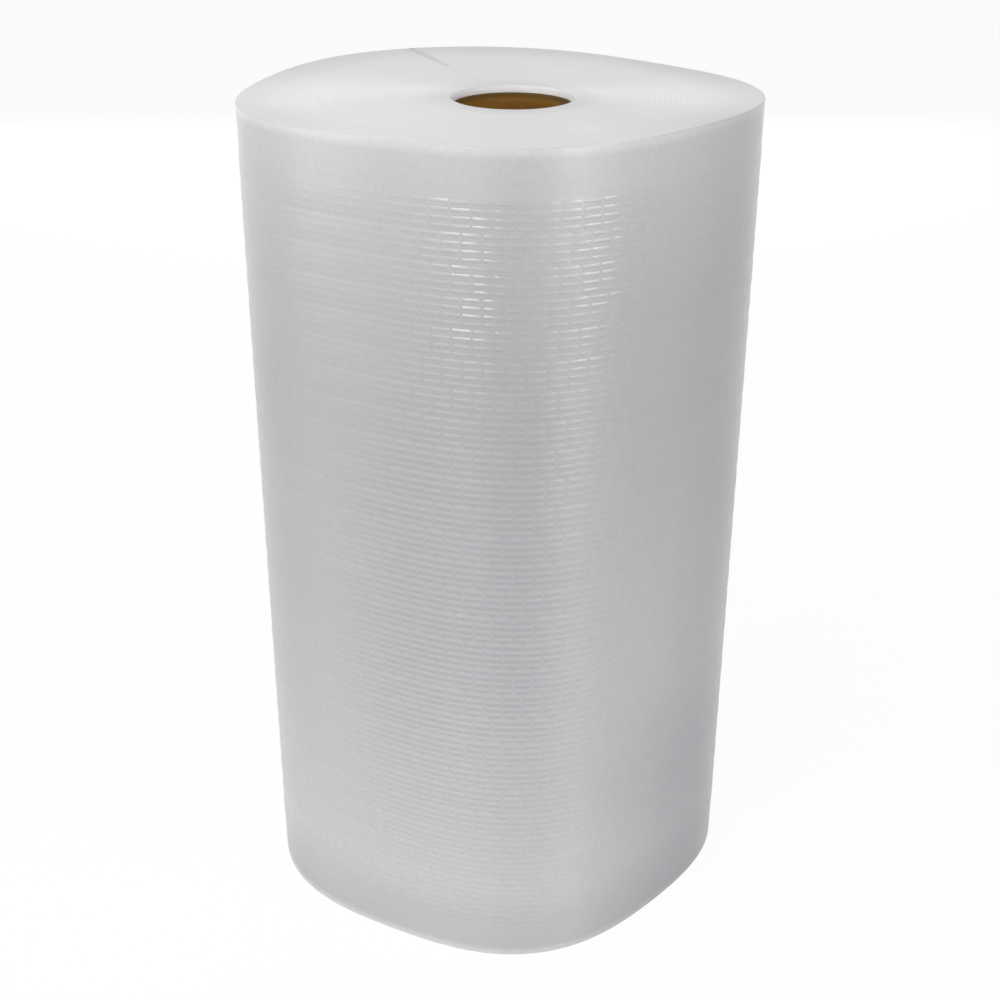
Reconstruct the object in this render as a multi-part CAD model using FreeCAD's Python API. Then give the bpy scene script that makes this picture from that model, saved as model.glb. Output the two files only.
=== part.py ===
import FreeCAD, Part
import math
import os
from FreeCAD import Vector

# A roll of tubular vacuum sealer film wound on a paperboard core. It stands on one end.
# Millimetres, +Z up the core, the roll resting on z = 0 and centred on x = y = 0.

# Film as wound
FILM_WIDTH = 280.0      # across the film: the height of the roll
ROLL_RADIUS = 80.5      # mean radius of the outermost turn
END_STEP = 0.4          # thickness of the film tube where its free end lies on the roll
END_DIRECTION = 112.0   # where that free end runs up the roll, degrees from +X
RIM_RADIUS = 0.8        # softening of the film's edges at both rims

# The wound turns relax, so the plan is a soft, rounded square and not a true circle.
# Each pair is a depth and the direction of its first crest, degrees from +X.
OVAL_DEPTH = 1.9
OVAL_DIRECTION = -46.0
LOPSIDE_DEPTH = 2.1
LOPSIDE_DIRECTION = -11.0
SQUARE_DEPTH = 2.1
SQUARE_DIRECTION = 12.0
DENT_DEPTH = 1.3
DENT_DIRECTION = -6.0

# Embossed field and the plain seal margins above and below it
MARGIN_LOW = 14.0
MARGIN_HIGH = 14.0
EMBOSS_RISE = 0.3       # how far the embossed field stands out from the plain film
EMBOSS_SLOPE = 0.9      # height over which it does so

# Turns seen on both ends
FIRST_TURNS = 1.5       # flat ring of the tight first turns round the core
LAST_TURNS = 0.5        # flat ring of the last turns inside the rim
TURN_GROOVES = 8        # shallow grooves between groups of turns
GROOVE_WIDTH = 1.3
GROOVE_DEPTH = 0.5

# Paperboard core
CORE_BORE = 35.0
CORE_WALL = 1.5
CORE_RECESS = 2.1       # how far each end of the core lies below the film's edges
CORE_CHAMFER = 0.35
CORE_FIT = 0.1          # radial clearance between the core and the first turn
CORE_OFFSET_X = 3.3     # the core sits off the middle of the relaxed roll
CORE_OFFSET_Y = -12.0

TURN_POINTS = 36        # points that guide each curve round the roll
RIM_STEPS = 2           # facets round the quarter circle of each rim

core_radius = CORE_BORE / 2 + CORE_WALL
hole_radius = core_radius + CORE_FIT
LOBES = (
    (2, OVAL_DEPTH, OVAL_DIRECTION),
    (3, LOPSIDE_DEPTH, LOPSIDE_DIRECTION),
    (4, SQUARE_DEPTH, SQUARE_DIRECTION),
    (5, DENT_DEPTH, DENT_DIRECTION),
)


def outer_radius(angle):
    """Radius of the outermost turn in the given direction, in radians."""
    radius = ROLL_RADIUS
    for count, depth, direction in LOBES:
        radius += depth * math.cos(count * (angle - math.radians(direction)))
    return radius


def spiral_point(share, outset, z):
    """A point that share of the way round the outermost turn from the film's free end."""
    angle = math.radians(END_DIRECTION) + math.tau * share
    radius = outer_radius(angle) + outset + END_STEP * (share - 0.5)
    return Vector(radius * math.cos(angle), radius * math.sin(angle), z)


def roll_middle():
    """Middle of the outermost turn's extents, which becomes x = y = 0."""
    points = [spiral_point(i / 720, 0, 0) for i in range(721)]
    xs = [point.x for point in points]
    ys = [point.y for point in points]
    return Vector((max(xs) + min(xs)) / 2, (max(ys) + min(ys)) / 2, 0)


MIDDLE = roll_middle()
CORE_CENTRE = Vector(CORE_OFFSET_X, CORE_OFFSET_Y, 0)


def outer_point(angle, outset, z):
    radius = outer_radius(angle) + outset
    return Vector(radius * math.cos(angle), radius * math.sin(angle), z) - MIDDLE


def hole_point(angle, outset, z):
    radius = hole_radius + outset
    return CORE_CENTRE + Vector(radius * math.cos(angle), radius * math.sin(angle), z)


def outer_edges(outset, z):
    """The outermost turn at one height: a curve once round, and the step at the film's end."""
    shares = [i / TURN_POINTS for i in range(TURN_POINTS + 1)]
    points = [spiral_point(share, outset, z) - MIDDLE for share in shares]
    curve = Part.BSplineCurve()
    curve.interpolate(Points=points, Parameters=shares)
    return [curve.toShape(), Part.makeLine(points[-1], points[0])]


def turn_edges(reach, outset, z):
    """A turn seen on an end: reach runs from 0 near the hole to 1 near the rim."""
    points = []
    for i in range(TURN_POINTS):
        angle = math.tau * i / TURN_POINTS
        inner = hole_point(angle, FIRST_TURNS + outset, z)
        outer = outer_point(angle, outset - RIM_RADIUS - LAST_TURNS, z)
        points.append(inner * (1 - reach) + outer * reach)
    shares = [i / TURN_POINTS for i in range(TURN_POINTS + 1)]
    curve = Part.BSplineCurve()
    curve.interpolate(Points=points, PeriodicFlag=True, Parameters=shares)
    return [curve.toShape()]


def band(lower, upper):
    """Ruled faces between two rings of matching edges."""
    return [Part.makeRuledSurface(a, b) for a, b in zip(lower, upper)]


def flat_ring(outer, inner):
    """Flat face between two closed rings at one height."""
    wires = [Part.Wire(outer), Part.Wire(inner)]
    return [Part.makeFace(wires, "Part::FaceMakerBullseye")]


def hole_edge(z):
    circle = Part.Circle(CORE_CENTRE + Vector(0, 0, z), Vector(0, 0, 1), hole_radius)
    return [circle.toShape()]


def end_face(z, inward):
    """One end of the roll: flat turns with shallow grooves between groups of them."""
    faces = []
    inner = hole_edge(z)
    for i in range(TURN_GROOVES):
        reach = (i + 0.5) / TURN_GROOVES
        near = turn_edges(reach, -GROOVE_WIDTH / 2, z)
        floor = turn_edges(reach, 0, z + inward * GROOVE_DEPTH)
        far = turn_edges(reach, GROOVE_WIDTH / 2, z)
        faces += flat_ring(near, inner) + band(near, floor) + band(floor, far)
        inner = far
    return faces + flat_ring(outer_edges(-RIM_RADIUS, z), inner)


def side_profile():
    """Outset and height of each ring up the side, from the lower end to the upper."""
    rim = [
        (RIM_RADIUS * (math.sin(a) - 1), RIM_RADIUS * (1 - math.cos(a)))
        for a in [math.pi / 2 * i / RIM_STEPS for i in range(RIM_STEPS + 1)]
    ]
    low = [(outset, z) for outset, z in rim]
    high = [(outset, FILM_WIDTH - z) for outset, z in reversed(rim)]
    field_low = [(0, MARGIN_LOW), (EMBOSS_RISE, MARGIN_LOW + EMBOSS_SLOPE)]
    top = FILM_WIDTH - MARGIN_HIGH
    field_high = [(EMBOSS_RISE, top - EMBOSS_SLOPE), (0, top)]
    return low + field_low + field_high + high


def make_film_roll():
    rings = [outer_edges(outset, z) for outset, z in side_profile()]
    faces = []
    for lower, upper in zip(rings, rings[1:]):
        faces += band(lower, upper)
    faces += end_face(0, 1) + end_face(FILM_WIDTH, -1)
    faces.append(hole_edge(0)[0].extrude(Vector(0, 0, FILM_WIDTH)))
    shell = Part.makeCompound(faces)
    shell.sewShape()
    solid = Part.Solid(shell.Shells[0])
    if solid.Volume < 0:
        solid.reverse()
    return solid


def make_core():
    base = CORE_CENTRE + Vector(0, 0, CORE_RECESS)
    length = FILM_WIDTH - 2 * CORE_RECESS
    tube = Part.makeCylinder(core_radius, length, base)
    tube = tube.cut(Part.makeCylinder(CORE_BORE / 2, length, base))
    ends = [e for e in tube.Edges if e.Closed and abs(e.BoundBox.ZLength) < 1e-6]
    return tube.makeChamfer(CORE_CHAMFER, ends)


parts = {
    "film_roll": make_film_roll(),
    "core": make_core(),
}

os.makedirs("parts", exist_ok=True)
for name, shape in parts.items():
    shape.exportStep("parts/" + name + ".step")
    print(name, shape.isValid(), len(shape.Solids), round(shape.Volume), shape.BoundBox)
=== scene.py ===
import math

import bpy
import numpy as np
from mathutils import Matrix, Vector


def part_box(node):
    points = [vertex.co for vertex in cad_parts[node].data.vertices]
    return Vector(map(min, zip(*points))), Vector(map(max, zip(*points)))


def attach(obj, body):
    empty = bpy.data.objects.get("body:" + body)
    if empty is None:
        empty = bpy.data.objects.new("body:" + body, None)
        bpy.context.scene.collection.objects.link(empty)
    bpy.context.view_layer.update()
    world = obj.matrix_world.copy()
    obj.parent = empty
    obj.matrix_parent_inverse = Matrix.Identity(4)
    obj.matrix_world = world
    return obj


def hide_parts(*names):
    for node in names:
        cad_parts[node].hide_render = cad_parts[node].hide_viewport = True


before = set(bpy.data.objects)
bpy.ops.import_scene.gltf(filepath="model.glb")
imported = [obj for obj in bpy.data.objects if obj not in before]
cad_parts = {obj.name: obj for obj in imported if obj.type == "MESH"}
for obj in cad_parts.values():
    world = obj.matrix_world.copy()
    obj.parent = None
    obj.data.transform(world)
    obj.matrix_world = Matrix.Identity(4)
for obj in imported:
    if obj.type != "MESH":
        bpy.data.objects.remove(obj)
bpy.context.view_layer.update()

# A roll of embossed tube film for vacuum sealing, wound on a paperboard core. It stands on
# one end. Metres. The film's place and height, and the core's, come from the CAD nodes.

roll_low, roll_high = (Vector(corner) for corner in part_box("film_roll"))
core_low, core_high = (Vector(corner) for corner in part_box("core"))
HEIGHT = roll_high.z
MIDDLE = (roll_low + roll_high) / 2

# Core
CORE_MIDDLE = (core_low + core_high) / 2
CORE_RADIUS = (core_high.x - core_low.x) / 2
CORE_WALL = 0.0015
CORE_EDGE = 0.0003              # softening of its cut edges
CORE_GAP = 0.0001               # the first turn of film lies clear of it
SEAM_PITCH = 0.062              # height that its spiral seam climbs in one turn
SEAM_DEPTH = 0.00018
SEAM_REACH = 0.012              # half of the seam's width as a share of its pitch
CORE_COLUMNS = 128
CORE_ROWS = 90                  # rows up its inner wall, which follow the seam

# Plan of the outermost turn, the same relaxed shape as the CAD roll's: a mean radius, and
# for each number of crests a depth and the direction of the first one in degrees from +X.
MEAN_RADIUS = 0.0805
LOBES = ((2, 0.0019, -46.0), (3, 0.0021, -11.0), (4, 0.0021, 12.0), (5, 0.0013, -6.0))
END_STEP = 0.0004               # thickness of the film tube at its free end
END_DIRECTION = 112.0           # where that end runs up the roll, degrees from +X

# Ends and rims
HOLE_RADIUS = CORE_RADIUS + CORE_GAP
HOLE_BANDS = (0.0002, 0.004)    # its wall's rows lie this far from each end: crisp edges
RIM_RADIUS = 0.0003
RIM_ROWS = 2
COLUMNS = 156                   # columns of the ends, the rims and the margins
TURN_RINGS = 42                 # rings of turns modelled on each end
RING_TOP = 0.00002              # how far the crest of a ring lies below the end
RING_DEPTH = 0.00004            # the groove beside it lies up to 3.5 times this below

# Embossing: bars in stacks of four, each row of stacks shifted by half a block
MARGIN = 0.014                  # plain film at both rims
LINES = 108
LINES_PER_ROW = 4
BLOCK_PITCH = 0.0062
BAR_SHARE = 0.89                # length of a bar as a share of the block
BAR_HEIGHT_SHARE = 0.56         # height of a bar as a share of the line
FIELD_RISE = 0.00004            # the field between the bars stands out from the margins
ROW_PILLOW = 0.00012            # each row of four lines bulges a little
BAR_RISE = 0.00020              # a bar stands out from the field
BAR_SLOPE = 0.00036             # width of a bar's sloped edge
BAR_TILT = math.radians(24)     # how far a bar's upper and lower edges turn up and down
BAR_TURN = math.radians(4)      # how far its ends turn aside
BAR_CROWN = 0.35                # how far its top is rounded, as a share of both
FLAT_TILT = 0.1                 # share of the tilt that a bar keeps where it is flattened
STEEP_LOW = 0.5                 # share of the tilt that a bar has in the lower part
STEEP_HEIGHTS = (0.17, 0.235)   # heights between which that share grows to 1
UNEVEN = 0.06                   # how much the tilt differs from bar to bar

# Winding flattens the pattern unevenly. It stays deep in one patch at the front, given by
# its middle's place along the turn from the roll's front and by its reach to either side.
PATCH_LOW = (-0.013, 0.041)
PATCH_HIGH = (0.003, 0.033)
PATCH_HEIGHTS = (0.16, 0.24)    # heights between which the first turns into the second
FLATTEST = 0.12                 # share of its depth that the pattern has outside the patch
STRIP_PLACE = 0.006             # a flatter upright strip within the upper patch
STRIP_REACH = 0.009
STRIP_LOSS = 0.5
STRIP_HEIGHTS = (0.20, 0.235)
BACK_SHARE = 0.6                # share of its depth that the pattern has round the back
BACK_START = (0.12, 0.16)       # how far along the turn from the front the back begins
FOOT_SHARE = 0.30               # share of the depth so far that is left at the foot
FOOT_HEIGHTS = (0.010, 0.125)   # heights between which it grows to the whole

# Painted shade of the film between the bars, from 0 for plain film to 1: in the lower part and
# above
GROOVE_SHADE = (1.0, 0.55)      # above and below a bar
GAP_SHADE = (0.45, 0.70)        # at a bar's ends
SHADE_HEIGHTS = (0.17, 0.225)   # heights between which the first turns into the second
GAP_LOSS = 0.45                 # how much lighter the gaps are near the upper rim
GAP_HEIGHTS = (0.215, 0.25)
# painted shade, too, on the sloped edges of the bars
SLOPE_SHADE = 0.45              # shade of a bar's sloped edges


# ---------------------------------------------------------------- the roll's plan

def plan_curve(count=2880):
    """Points and outward normals once round the outermost turn, from the film's free end."""
    share = np.linspace(0, 1, count + 1)
    angle = math.radians(END_DIRECTION) + math.tau * share
    radius = MEAN_RADIUS + END_STEP * (share - 0.5)
    for crests, depth, direction in LOBES:
        radius = radius + depth * np.cos(crests * (angle - math.radians(direction)))
    points = np.stack([radius * np.cos(angle), radius * np.sin(angle)], axis=1)
    middle = (points.min(axis=0) + points.max(axis=0)) / 2
    points = points - middle + np.array([MIDDLE.x, MIDDLE.y])
    tangents = np.gradient(points, axis=0)
    normals = np.stack([tangents[:, 1], -tangents[:, 0]], axis=1)
    normals /= np.linalg.norm(normals, axis=1)[:, None]
    return points, normals


PLAN, PLAN_NORMALS = plan_curve()
PLAN_LENGTHS = np.concatenate([[0], np.cumsum(np.linalg.norm(np.diff(PLAN, axis=0), axis=1))])
LENGTH = float(PLAN_LENGTHS[-1])
FRONT = float(PLAN_LENGTHS[np.argmin(PLAN[:, 1])])  # place along the turn of its front
PLAIN = [LENGTH * i / COLUMNS for i in range(COLUMNS + 1)]


def on_plan(along):
    """Point and normal on the outermost turn, that far along it from the free end."""
    at = np.clip(along, 0, LENGTH)
    point = [np.interp(at, PLAN_LENGTHS, PLAN[:, i]) for i in (0, 1)]
    normal = [np.interp(at, PLAN_LENGTHS, PLAN_NORMALS[:, i]) for i in (0, 1)]
    return point, normal


def on_hole(along):
    """Point on the hole's circle, in step with a place along the outermost turn."""
    (px, py), _ = on_plan(along)
    angle = math.atan2(py - CORE_MIDDLE.y, px - CORE_MIDDLE.x)
    x = CORE_MIDDLE.x + HOLE_RADIUS * math.cos(angle)
    y = CORE_MIDDLE.y + HOLE_RADIUS * math.sin(angle)
    return x, y


def tilted(nx, ny, tilt, turn=0.0):
    """A plan normal turned up by one angle and aside, along the turn, by another."""
    x = nx * math.cos(turn) - ny * math.sin(turn)
    y = ny * math.cos(turn) + nx * math.sin(turn)
    return x * math.cos(tilt), y * math.cos(tilt), math.sin(tilt)


def between(low, high, share):
    return low + (high - low) * share


def smooth(value, low, high):
    """Share of the way from low to high, from 0 to 1 with soft ends."""
    share = min(1.0, max(0.0, (value - low) / (high - low)))
    return share * share * (3 - 2 * share)


# ---------------------------------------------------------------- mesh building

SAME_PLACE = 1e-7   # vertices of two rows that are nearer than this along the turn pair up


class Skin:
    """Vertices and faces of one skin, laid out as rows that run once round the roll.

    A vertex has one normal for all its faces, and a face may have its own at each corner.
    The painted shade of a face runs from 0 on plain film or on a bar to 1 in the deepest groove.
    """

    def __init__(self):
        self.vertices = []
        self.places = []
        self.normals = []
        self.faces = []
        self.corner_normals = {}
        self.shades = []

    def vertex(self, x, y, z, along, reach=1.0, normal=(0.0, 0.0, 0.0)):
        """Reach runs from 0 at the hole to 1 at the rim. A zero normal is left to the faces."""
        self.vertices.append((x, y, z))
        self.places.append((along, z, reach))
        self.normals.append(normal)
        return len(self.vertices) - 1

    def side_vertex(self, along, z, outset, tilt=None):
        (px, py), (nx, ny) = on_plan(along)
        normal = (0.0, 0.0, 0.0) if tilt is None else tilted(nx, ny, tilt)
        return self.vertex(px + nx * outset, py + ny * outset, z, along, 1.0, normal)

    def row(self, alongs, z, outset=0.0, tilt=0.0):
        """A row of vertices up the side: (place along the turn, vertex) pairs."""
        return [(a, self.side_vertex(a, z, outset, tilt)) for a in alongs]

    def face(self, corners, shade=0.0, normals=None):
        if normals is not None:
            self.corner_normals[len(self.faces)] = normals
        self.faces.append(corners)
        self.shades += [shade] * len(corners)

    def strip(self, lower, upper, shade_at=lambda along: 0.0):
        """Triangles and quads between two rows, whatever the places of their vertices."""
        i = j = 0
        while i < len(lower) - 1 or j < len(upper) - 1:
            next_low = lower[i + 1][0] if i < len(lower) - 1 else math.inf
            next_up = upper[j + 1][0] if j < len(upper) - 1 else math.inf
            shade = shade_at((lower[i][0] + min(next_low, next_up)) / 2)
            if abs(next_low - next_up) < SAME_PLACE:
                self.face((lower[i][1], lower[i + 1][1], upper[j + 1][1], upper[j][1]), shade)
                i, j = i + 1, j + 1
            elif next_low < next_up:
                self.face((lower[i][1], lower[i + 1][1], upper[j][1]), shade)
                i += 1
            else:
                self.face((lower[i][1], upper[j + 1][1], upper[j][1]), shade)
                j += 1

    def strips(self, rows):
        for lower, upper in zip(rows, rows[1:]):
            self.strip(lower, upper)

    def free_end(self, rows):
        """The narrow faces up the rows where the film's free end lies on the roll."""
        nx, ny = on_plan(LENGTH)[1]
        for lower, upper in zip(rows, rows[1:]):
            corners = (lower[-1][1], lower[0][1], upper[0][1], upper[-1][1])
            self.face(corners, 0.0, [(-ny, nx, 0.0)] * 4)


def make_object(name, vertices, faces):
    mesh = bpy.data.meshes.new(name)
    mesh.from_pydata(vertices, [], faces)
    mesh.polygons.foreach_set("use_smooth", [True] * len(mesh.polygons))
    mesh.validate()
    obj = bpy.data.objects.new(name, mesh)
    bpy.context.scene.collection.objects.link(obj)
    return obj


def skin_object(name, skin):
    """An object of a skin, with its normals and with its places for the material to read."""
    obj = make_object(name, skin.vertices, skin.faces)
    place = obj.data.attributes.new("film_place", "FLOAT_VECTOR", "POINT")
    place.data.foreach_set("vector", np.array(skin.places, dtype=np.float32).ravel())
    shade = obj.data.attributes.new("film_shade", "FLOAT", "CORNER")
    shade.data.foreach_set("value", np.array(skin.shades, dtype=np.float32))
    corners = []
    for i, face in enumerate(skin.faces):
        corners += skin.corner_normals.get(i) or [skin.normals[v] for v in face]
    obj.data.normals_split_custom_set(corners)
    return obj


# ---------------------------------------------------------------- the film's embossing

BLOCKS = round(LENGTH / BLOCK_PITCH)
BLOCK = LENGTH / BLOCKS
LINE = (HEIGHT - 2 * MARGIN) / LINES


def row_shift(line):
    """How far the stacks of that line's row are shifted, in blocks."""
    return 0.5 if (line // LINES_PER_ROW) % 2 else 0.0


def bars_of(line):
    """Start and end of each bar of one embossed line."""
    gap = BLOCK * (1 - BAR_SHARE) / 2
    bars = []
    for i in range(BLOCKS):
        start = (i + row_shift(line)) * BLOCK + gap
        end = start + BLOCK * BAR_SHARE
        if end < LENGTH:
            bars.append((start, end))
    return bars


def field_outset(z):
    """How far the field stands out at a height: each row of lines bulges like a pillow."""
    row = (z - MARGIN) / (LINE * LINES_PER_ROW)
    return FIELD_RISE + ROW_PILLOW * math.sin(math.pi * (row % 1.0))


def field_tilt(z):
    """Upward turn of the field's surface at a height, from the pillow of its row."""
    row = (z - MARGIN) / (LINE * LINES_PER_ROW)
    slope = ROW_PILLOW * math.pi / (LINE * LINES_PER_ROW) * math.cos(math.pi * (row % 1.0))
    return -math.atan(slope)


def crispness(along, z):
    """How deep the pattern still is there, up to 1: winding flattens it in places."""
    aside = along - FRONT
    up = smooth(z, *PATCH_HEIGHTS)
    middle, reach = (between(low, high, up) for low, high in zip(PATCH_LOW, PATCH_HIGH))
    depth = between(FLATTEST, 1.0, math.exp(-((aside - middle) / reach) ** 4))
    strip = math.exp(-((aside - STRIP_PLACE) / STRIP_REACH) ** 2)
    depth *= 1 - STRIP_LOSS * strip * smooth(z, *STRIP_HEIGHTS)
    depth = max(depth, BACK_SHARE * smooth(abs(aside), *BACK_START))
    return depth * between(FOOT_SHARE, 1.0, smooth(z, *FOOT_HEIGHTS))


def groove_shade(line, along, z):
    """Painted shade between bars: under a bar, or in the gap at its end."""
    under_bar = abs((along / BLOCK - row_shift(line)) % 1.0 - 0.5) < BAR_SHARE / 2
    up = smooth(z, *SHADE_HEIGHTS)
    if under_bar:
        shade = between(*GROOVE_SHADE, up)
    else:
        shade = between(*GAP_SHADE, up) - GAP_LOSS * smooth(z, *GAP_HEIGHTS)
    return shade * crispness(along, z)


def embossed_line(skin, line, previous):
    """One line of raised bars, joined to the row of vertices below it."""
    bars = bars_of(line)
    gap = LINE * (1 - BAR_HEIGHT_SHARE) / 2
    low_z = MARGIN + line * LINE + gap
    high_z = MARGIN + (line + 1) * LINE - gap
    alongs = [0.0] + [place for bar in bars for place in bar] + [LENGTH]
    up = field_tilt((low_z + high_z) / 2)
    low = skin.row(alongs, low_z, field_outset(low_z), up)
    high = skin.row(alongs, high_z, field_outset(high_z), up)
    skin.strip(previous, low, lambda along: groove_shade(line, along, low_z))
    for i in range(len(alongs) - 1):
        base = (low[i][1], low[i + 1][1], high[i + 1][1], high[i][1])
        if i % 2:
            raise_bar(skin, base, (alongs[i], alongs[i + 1]), (low_z, high_z), up)
        else:
            past_bar = alongs[i] + 1e-6
            skin.face(base, groove_shade(line, past_bar, low_z))
    return low, high


def raise_bar(skin, base, ends, heights, up):
    """One raised bar on the four vertices of its base, with normals rounded to its edges."""
    (start, end), (low_z, high_z) = ends, heights
    crisp = crispness(start, low_z)
    steep = between(STEEP_LOW, 1.0, smooth(low_z, *STEEP_HEIGHTS))
    uneven = 1 + UNEVEN * math.sin(start * 9173 + low_z * 7411)  # differs from bar to bar
    tilt = BAR_TILT * steep * between(FLAT_TILT, 1.0, crisp) * uneven
    top = field_outset((low_z + high_z) / 2) + BAR_RISE * crisp
    left, right = start + BAR_SLOPE, end - BAR_SLOPE
    crest = (
        skin.side_vertex(left, low_z + BAR_SLOPE, top),
        skin.side_vertex(right, low_z + BAR_SLOPE, top),
        skin.side_vertex(right, high_z - BAR_SLOPE, top),
        skin.side_vertex(left, high_z - BAR_SLOPE, top),
    )
    (_, at_start), (_, at_end) = on_plan(start), on_plan(end)

    def rounded(share):
        turn = BAR_TURN * share
        low, high = up - tilt * share, up + tilt * share
        return [tilted(*at_start, low, -turn), tilted(*at_end, low, turn),
                tilted(*at_end, high, turn), tilted(*at_start, high, -turn)]

    skin.face(crest, 0.0, rounded(BAR_CROWN))
    normals = rounded(1.0)
    for k in range(4):
        m = (k + 1) % 4
        skin.face((base[k], base[m], crest[m], crest[k]), SLOPE_SHADE * crisp,
                  [normals[k], normals[m], normals[m], normals[k]])


# ---------------------------------------------------------------- the film's rims and ends

def rim_rows(skin, z, inward):
    """Rows round a rim, from the flat end out to the side: a quarter circle."""
    rows = []
    for i in range(RIM_ROWS + 1):
        a = math.pi / 2 * i / RIM_ROWS
        outset = RIM_RADIUS * (math.sin(a) - 1)
        height = z + inward * RIM_RADIUS * (1 - math.cos(a))
        rows.append(skin.row(PLAIN, height, outset, inward * (a - math.pi / 2)))
    return rows


def groove_depth(ring, along):
    """How far the groove beside one ring of turns lies below the end, unevenly."""
    sway = math.sin(2.399 * ring) + 0.6 * math.sin(5.1 * ring + 2.0)
    wave = 0.25 * math.sin(math.tau * 3 * along / LENGTH + ring)
    return RING_DEPTH * (1.6 + sway + wave)


def end_rows(skin, z, inward):
    """Rows over one end, from the rim in to the hole: grooves and crests by turns."""
    rows = []
    last = 2 * TURN_RINGS
    for i in range(1, last + 1):
        reach = 1 - i / last
        level_out = min(1.0, 4 * reach)  # the first turns round the hole lie flat
        row = []
        for along in PLAIN:
            (px, py), (nx, ny) = on_plan(along)
            hole_x, hole_y = on_hole(along)
            x = between(hole_x, px - nx * RIM_RADIUS, reach)
            y = between(hole_y, py - ny * RIM_RADIUS, reach)
            sink = groove_depth(i // 2, along) if i % 2 else RING_TOP
            height = z + inward * sink * level_out
            row.append((along, skin.vertex(x, y, height, along, reach)))
        rows.append(row)
    return rows


def hole_wall(skin, top_row, foot_row):
    """The wall of the hole, joined to the innermost row of each end."""
    heights = [HEIGHT - band for band in HOLE_BANDS] + list(reversed(HOLE_BANDS))
    rows = [[(a, skin.vertex(*on_hole(a), z, a, 0.0)) for a in PLAIN] for z in heights]
    skin.strips([top_row] + rows + [foot_row])


def make_film():
    """The whole roll of film: both ends, the rims, the margins and the embossed field."""
    skin = Skin()
    margin = (MARGIN * 0.5, MARGIN - LINE * 0.3)
    rows = end_rows(skin, 0.0, 1)[::-1] + rim_rows(skin, 0.0, 1)
    rows += [skin.row(PLAIN, z) for z in margin]
    skin.strips(rows)
    for line in range(LINES):
        rows += embossed_line(skin, line, rows[-1])
    upper = [rows[-1]]
    upper += [skin.row(PLAIN, HEIGHT - z) for z in reversed(margin)]
    upper += rim_rows(skin, HEIGHT, -1)[::-1] + end_rows(skin, HEIGHT, -1)
    skin.strips(upper)
    rows += upper[1:]
    skin.free_end(rows)
    hole_wall(skin, rows[-1], rows[0])
    return skin_object("film", skin)


film = make_film()


# ---------------------------------------------------------------- the core

def seam_recess(angle, z):
    """How deep the spiral seam of the inner ply is there."""
    phase = (z / SEAM_PITCH - angle / math.tau) % 1.0
    return SEAM_DEPTH * math.exp(-((phase - 0.5) / SEAM_REACH) ** 2)


def make_core():
    """Paperboard tube: walls, cut ends and the spiral seam of its inner ply."""
    low, high = core_low.z, core_high.z
    outer, inner = CORE_RADIUS, CORE_RADIUS - CORE_WALL
    rise = (high - low - 2 * CORE_EDGE) / CORE_ROWS
    profile = [(inner, low + CORE_EDGE + rise * i) for i in range(CORE_ROWS + 1)]
    profile += [(inner + CORE_EDGE, high), (outer - CORE_EDGE, high)]
    profile += [(outer, high - CORE_EDGE), (outer, low + CORE_EDGE)]
    profile += [(outer - CORE_EDGE, low), (inner + CORE_EDGE, low)]
    vertices = []
    for radius, z in profile:
        for i in range(CORE_COLUMNS):
            angle = math.tau * i / CORE_COLUMNS
            r = radius + (seam_recess(angle, z) if radius == inner else 0.0)
            vertices.append((CORE_MIDDLE.x + r * math.cos(angle),
                             CORE_MIDDLE.y + r * math.sin(angle), z))
    faces = []
    for ring in range(len(profile)):
        a = ring * CORE_COLUMNS
        b = (ring + 1) % len(profile) * CORE_COLUMNS
        for i in range(CORE_COLUMNS):
            k = (i + 1) % CORE_COLUMNS
            faces.append((a + i, b + i, b + k, a + k))
    return make_object("core_tube", vertices, faces)


core = make_core()


# ---------------------------------------------------------------- materials

class Nodes:
    """Small helper for building a material's node tree."""

    def __init__(self, name):
        self.material = bpy.data.materials.new(name)
        self.material.use_nodes = True
        self.tree = self.material.node_tree
        self.shader = self.tree.nodes["Principled BSDF"]

    def add(self, kind, inputs=None, **settings):
        node = self.tree.nodes.new(kind)
        for key, value in settings.items():
            setattr(node, key, value)
        for key, value in (inputs or {}).items():
            self.put(node.inputs[key], value)
        return node

    def put(self, socket, value):
        if isinstance(value, bpy.types.NodeSocket):
            self.tree.links.new(value, socket)
        else:
            socket.default_value = value

    def surface(self, **values):
        """Puts values on the shader: Coat_Weight stands for the socket Coat Weight."""
        for name, value in values.items():
            self.put(self.shader.inputs[name.replace("_", " ")], value)

    def attribute(self, name, output):
        return self.add("ShaderNodeAttribute", attribute_name=name).outputs[output]

    def parts(self, vector):
        return self.add("ShaderNodeSeparateXYZ", {0: vector}).outputs

    def math(self, operation, a, b=0.0):
        return self.add("ShaderNodeMath", {0: a, 1: b}, operation=operation).outputs[0]

    def mix(self, factor, a, b):
        node = self.add("ShaderNodeMix", data_type="RGBA")
        self.put(node.inputs["Factor"], factor)
        self.put(node.inputs["A"], a)
        self.put(node.inputs["B"], b)
        return node.outputs["Result"]

    def ramp(self, value, low, high, to_low=0.0, to_high=1.0):
        inputs = {0: value, 1: low, 2: high, 3: to_low, 4: to_high}
        node = self.add("ShaderNodeMapRange", inputs, interpolation_type="SMOOTHSTEP")
        return node.outputs[0]

    def noise(self, vector, scale, detail=2.0, roughness=0.5):
        inputs = {"Vector": vector, "Scale": scale, "Detail": detail, "Roughness": roughness}
        return self.add("ShaderNodeTexNoise", inputs).outputs["Fac"]


def colour(red, green, blue):
    """A colour written as 0 to 255 sRGB, as the linear value that nodes take."""
    def linear(value):
        value /= 255
        return value / 12.92 if value <= 0.04045 else ((value + 0.055) / 1.055) ** 2.4
    return (linear(red), linear(green), linear(blue), 1.0)
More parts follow.
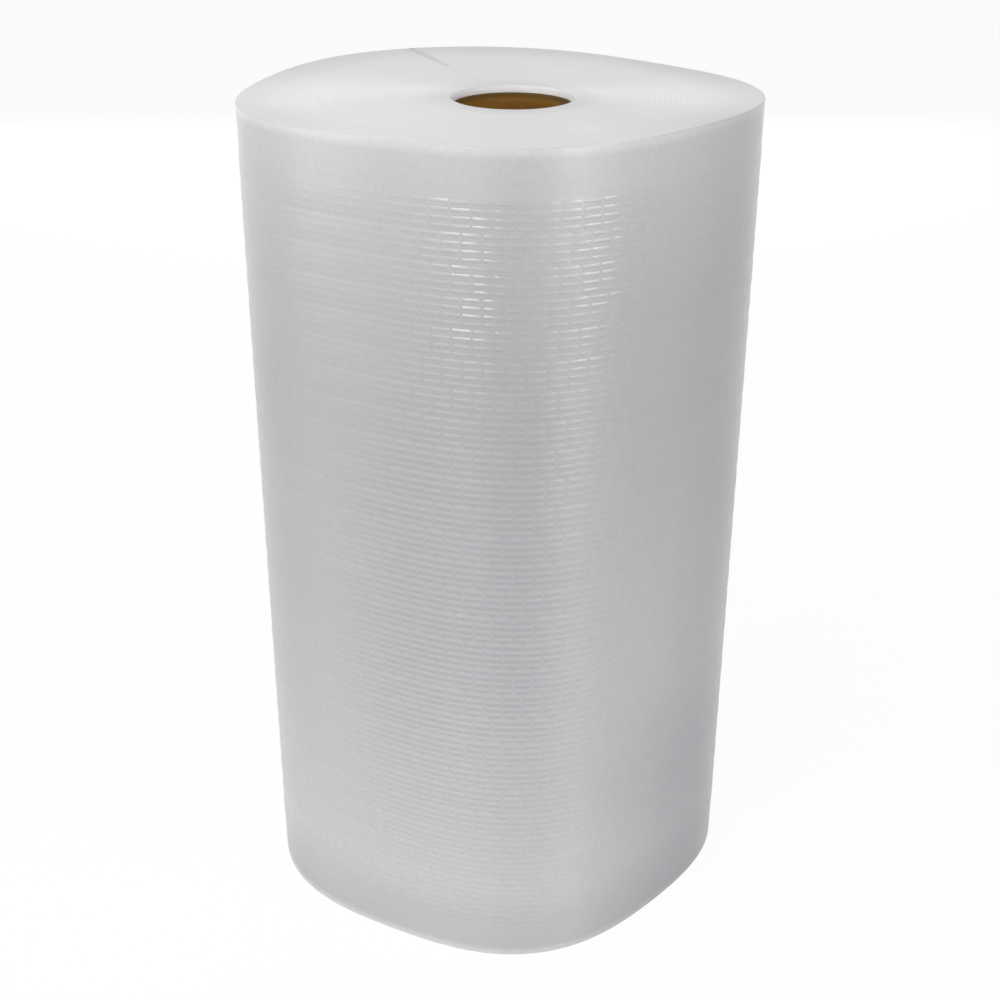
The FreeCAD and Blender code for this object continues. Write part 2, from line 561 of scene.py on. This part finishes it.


# Tone of the side from the lower end up, with painted light and shade by height: share of the
# height and grey, 0 to 255
SIDE_TONES_WITH_PAINTED_LIGHT = ((0.0, 164), (0.045, 169), (0.10, 180), (0.22, 173), (0.45, 161), (0.70, 153),
              (0.83, 155), (0.93, 163), (0.98, 170))


def side_tones_with_painted_light(n, height):
    """Tone of the side at a height, with its painted light and shade."""
    node = n.add("ShaderNodeValToRGB", {"Fac": n.math("DIVIDE", height, HEIGHT)})
    stops = node.color_ramp.elements
    while len(stops) < len(SIDE_TONES_WITH_PAINTED_LIGHT):
        stops.new(1.0)
    for stop, (place, grey) in zip(stops, SIDE_TONES_WITH_PAINTED_LIGHT):
        stop.position = place
        stop.color = colour(grey + 1, grey, grey + 2)
    return node.outputs[0]


def side_colour(n, coords, cloud, height, from_rim):
    """The side: milky, with painted light and shade: lighter towards both ends and the rims,
    darker between the bars and on the right.
    """
    x, _, z = n.parts(coords)
    cloudy = n.ramp(cloud, 0.3, 0.7, 0.0, 0.1)
    side = n.mix(cloudy, side_tones_with_painted_light(n, height), colour(150, 149, 152))
    # painted shade in the grooves and gaps between the bars and on their sloped edges
    grooves = n.math("MULTIPLY", n.attribute("film_shade", "Fac"), 0.42)
    side = n.mix(grooves, side, colour(136, 135, 138))
    # painted light: a lighter fringe up the side next to both rims
    side = n.mix(n.ramp(from_rim, 0.0008, 0.0035), colour(186, 185, 187), side)
    grain = n.ramp(n.noise(coords, 700.0, 3.0, 0.6), 0.35, 0.65, 0.0, 0.11)
    side = n.mix(grain, side, colour(130, 129, 132))
    # painted shade: greyer on the right, most of all near the foot
    side = n.mix(n.ramp(x, 0.045, 0.080, 0.0, 0.5), side, colour(128, 127, 132))
    low_right_painted_shade = n.math("MULTIPLY", n.ramp(x, 0.0, 0.07, 0.0, 0.45), n.ramp(z, 0.115, 0.055))
    return n.mix(low_right_painted_shade, side, colour(128, 127, 132))


def end_colour(n, coords, reach):
    """The ends: whitest half-way, greyer near the core, and with painted shade near the rim but
    for the front.
    """
    x, y, _ = n.parts(coords)
    ends = n.mix(n.noise(coords, 60.0, 2.0), colour(222, 221, 219), colour(228, 227, 225))
    # short pale arcs in patches over the right half of each end
    arcs = n.ramp(n.math("SINE", n.math("MULTIPLY", reach, 220.0)), 0.0, 1.0)
    patches = n.ramp(n.noise(coords, 55.0, 1.0), 0.50, 0.62, 0.0, 0.5)
    pale_arc_patches = n.math("MULTIPLY", n.math("MULTIPLY", arcs, patches), n.ramp(x, 0.0, 0.03))
    ends = n.mix(pale_arc_patches, ends, colour(244, 243, 241))
    # painted shade along the rim of each end, all but the front
    rim_painted_shade = n.math("MULTIPLY", n.ramp(reach, 0.65, 1.0), n.ramp(y, -0.075, -0.030))
    ends = n.mix(rim_painted_shade, ends, colour(204, 203, 204))
    return n.mix(n.ramp(reach, 0.0, 0.22, 0.9, 0.0), ends, colour(208, 208, 210))


def film_material():
    """Milky film: its side, its ends and the wall of its hole, told apart by their reach."""
    n = Nodes("film")
    _, height, reach = n.parts(n.attribute("film_place", "Vector"))
    coords = n.add("ShaderNodeTexCoord").outputs["Object"]
    normal = n.add("ShaderNodeNewGeometry").outputs["Normal"]
    cloud = n.noise(coords, 28.0, 3.0)
    from_rim = n.math("MINIMUM", height, n.math("SUBTRACT", HEIGHT, height))
    at_hole = n.math("LESS_THAN", reach, 0.001)
    on_wall = n.math("MULTIPLY", at_hole, n.ramp(from_rim, 0.0, 0.0004))
    level = n.ramp(n.math("ABSOLUTE", n.parts(normal)[2]), 0.9, 1.0)
    on_end = n.math("MAXIMUM", n.math("LESS_THAN", reach, 0.5), level)

    side = side_colour(n, coords, cloud, height, from_rim)
    ends = n.mix(on_wall, end_colour(n, coords, reach), colour(227, 227, 228))
    n.surface(Base_Color=n.mix(on_end, side, ends))
    # light comes through the turns to the wall of the hole, so it looks as pale as the ends
    n.surface(Subsurface_Weight=on_wall, Subsurface_Radius=(1.0, 1.0, 1.0))
    n.surface(Subsurface_Scale=0.004)
    # gloss: a sharp one, and one that the turns and the rows of bars draw out up and down
    around = n.add("ShaderNodeTangent", direction_type="RADIAL", axis="Z").outputs[0]
    n.surface(Roughness=n.ramp(cloud, 0.3, 0.7, 0.44, 0.50), Specular_IOR_Level=0.65)
    n.surface(Anisotropic=0.9, Anisotropic_Rotation=0.25, Tangent=around)
    n.surface(Coat_Weight=0.45, Coat_Roughness=0.11)
    return n.material


def board_material():
    """Brown paperboard: fibres that run round it, darker blots and a darker upper edge."""
    n = Nodes("paperboard")
    coords = n.add("ShaderNodeTexCoord").outputs["Object"]
    z = n.parts(coords)[2]
    top = core_high.z
    fibres = n.add("ShaderNodeMapping", {"Vector": coords, "Scale": (1.0, 1.0, 6.0)})
    grain = n.noise(fibres.outputs[0], 180.0, 6.0, 0.65)
    blots = n.ramp(n.noise(coords, 45.0, 3.0), 0.4, 0.7, 0.0, 0.7)
    brown = n.mix(grain, colour(104, 64, 20), colour(150, 102, 36))
    brown = n.mix(blots, brown, colour(84, 56, 24))
    brown = n.mix(n.ramp(z, top - 0.012, top, 0.0, 0.4), brown, colour(96, 80, 30))
    darker_upper_edge = n.ramp(z, top - 0.0020, top - 0.0006, 0.0, 0.6)
    bump = n.add("ShaderNodeBump", {"Height": grain, "Strength": 0.35, "Distance": 0.0004})
    n.surface(Base_Color=n.mix(darker_upper_edge, brown, colour(56, 46, 24)))
    n.surface(Roughness=0.85, Specular_IOR_Level=0.2, Normal=bump.outputs[0])
    return n.material


film.data.materials.append(film_material())
core.data.materials.append(board_material())
for piece, node, slot in ((film, "film_roll", "film"), (core, "core", "paperboard")):
    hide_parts(node)
    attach(piece, "root")


# ---------------------------------------------------------------- floor and backdrop

FLOOR_SIZE = 12.0
FLOOR_WHITE = 0.95  # how much of what the camera sees of the floor is plain white
WORLD_LIGHT = 0.03  # strength of the light that the backdrop gives


def make_floor():
    """A pale floor that the camera sees as nearly white, with the roll's shadow on it."""
    s = FLOOR_SIZE / 2
    floor = make_object("floor", [(-s, -s, 0), (s, -s, 0), (s, s, 0), (-s, s, 0)], [(0, 1, 2, 3)])
    n = Nodes("floor")
    n.surface(Base_Color=colour(246, 246, 247), Roughness=0.9)
    path = n.add("ShaderNodeLightPath")
    seen = n.math("MAXIMUM", path.outputs["Is Camera Ray"], path.outputs["Is Glossy Ray"])
    seen = n.math("MAXIMUM", seen, path.outputs["Is Transmission Ray"])
    white = n.add("ShaderNodeEmission", {"Color": (1, 1, 1, 1), "Strength": 1.0})
    share = n.math("MULTIPLY", seen, FLOOR_WHITE)
    mixed = n.add("ShaderNodeMixShader", {0: share, 1: n.shader.outputs[0], 2: white.outputs[0]})
    n.put(n.tree.nodes["Material Output"].inputs[0], mixed.outputs[0])
    floor.data.materials.append(n.material)


def make_world():
    """A backdrop that the camera sees as white and that lights the roll only faintly."""
    world = bpy.data.worlds.new("studio")
    bpy.context.scene.world = world
    world.use_nodes = True
    tree = world.node_tree
    background = tree.nodes["Background"]
    path = tree.nodes.new("ShaderNodeLightPath")
    seen = path.outputs["Is Camera Ray"]
    for name in ("Is Glossy Ray", "Is Transmission Ray"):
        either = tree.nodes.new("ShaderNodeMath")
        either.operation = "MAXIMUM"
        tree.links.new(seen, either.inputs[0])
        tree.links.new(path.outputs[name], either.inputs[1])
        seen = either.outputs[0]
    strength = tree.nodes.new("ShaderNodeMapRange")
    tree.links.new(seen, strength.inputs["Value"])
    strength.inputs["To Min"].default_value = WORLD_LIGHT
    strength.inputs["To Max"].default_value = 1.0
    tree.links.new(strength.outputs[0], background.inputs["Strength"])
    background.inputs["Color"].default_value = (1, 1, 1, 1)


# ---------------------------------------------------------------- lamps and camera

# Name, azimuth from +X and elevation in degrees, distance, width, height, watts, and
# whether gloss mirrors it: the one behind would glare on the upper end.
LAMPS = (
    ("left_window", -120, 27, 1.3, 0.56, 0.17, 4.8, True),
    ("left_front", -130, 12, 1.3, 1.0, 0.6, 2.5, True),
    ("left_strip", -160, 8, 1.0, 0.4, 0.9, 1.7, True),
    ("left_top", -170, 40, 0.7, 0.5, 0.4, 2.4, True),
    ("right_window", -37, 22, 1.3, 0.56, 0.18, 3.5, True),
    ("right_high", -32, 34, 1.3, 0.60, 0.30, 2.7, True),
    ("right_front", -55, 8, 1.3, 0.6, 0.8, 5.8, True),
    ("right_side", -15, 20, 1.3, 0.5, 0.5, 0.5, True),
    ("back_fill", 92, 6, 1.3, 1.1, 0.5, 11.0, False),
)
LAMP_AIM = 0.7                          # share of the roll's height that the lamps face
CEILING = (230, 70, 60, 0.30)           # azimuth, elevation and spread in degrees, strength
CAMERA_PLACE = (0.0051, -0.4905, 0.3720)
CAMERA_LOOK = (90.64, -25.72)           # azimuth and elevation that it looks towards
CAMERA_ROLL = 0.22                      # degrees about that line
CAMERA_LENS = 54.77


def towards(azimuth, elevation):
    """Unit vector in a direction given in degrees."""
    a, e = math.radians(azimuth), math.radians(elevation)
    return Vector((math.cos(a) * math.cos(e), math.sin(a) * math.cos(e), math.sin(e)))


def facing(direction):
    """Rotation of a lamp or camera that looks that way."""
    return direction.to_track_quat("-Z", "Y")


def make_lamp(name, azimuth, elevation, distance, width, height, watts, mirrored):
    """A rectangular lamp that faces the roll's upper half."""
    data = bpy.data.lights.new(name, "AREA")
    data.shape = "RECTANGLE"
    data.size = width
    data.size_y = height
    data.energy = watts
    lamp = bpy.data.objects.new(name, data)
    away = towards(azimuth, elevation)
    lamp.location = Vector((MIDDLE.x, MIDDLE.y, HEIGHT * LAMP_AIM)) + away * distance
    lamp.rotation_euler = facing(-away).to_euler()
    lamp.visible_glossy = mirrored
    bpy.context.scene.collection.objects.link(lamp)


def make_ceiling(azimuth, elevation, spread, strength):
    """Light from the whole ceiling, as even over the floor as over the roll."""
    data = bpy.data.lights.new("ceiling", "SUN")
    data.angle = math.radians(spread)
    data.energy = strength
    sun = bpy.data.objects.new("ceiling", data)
    sun.rotation_euler = facing(-towards(azimuth, elevation)).to_euler()
    bpy.context.scene.collection.objects.link(sun)


def make_camera():
    """A camera in front of the roll and above it, looking down at about 26 degrees."""
    data = bpy.data.cameras.new("camera")
    data.lens = CAMERA_LENS
    camera = bpy.data.objects.new("camera", data)
    upright = facing(towards(*CAMERA_LOOK)).to_matrix()
    roll = Matrix.Rotation(math.radians(CAMERA_ROLL), 3, "Z")
    camera.rotation_euler = (upright @ roll).to_euler()
    camera.location = CAMERA_PLACE
    bpy.context.scene.collection.objects.link(camera)
    bpy.context.scene.camera = camera


make_floor()
make_world()
for lamp in LAMPS:
    make_lamp(*lamp)
make_ceiling(*CEILING)
make_camera()
bpy.context.scene.view_settings.view_transform = "Standard"
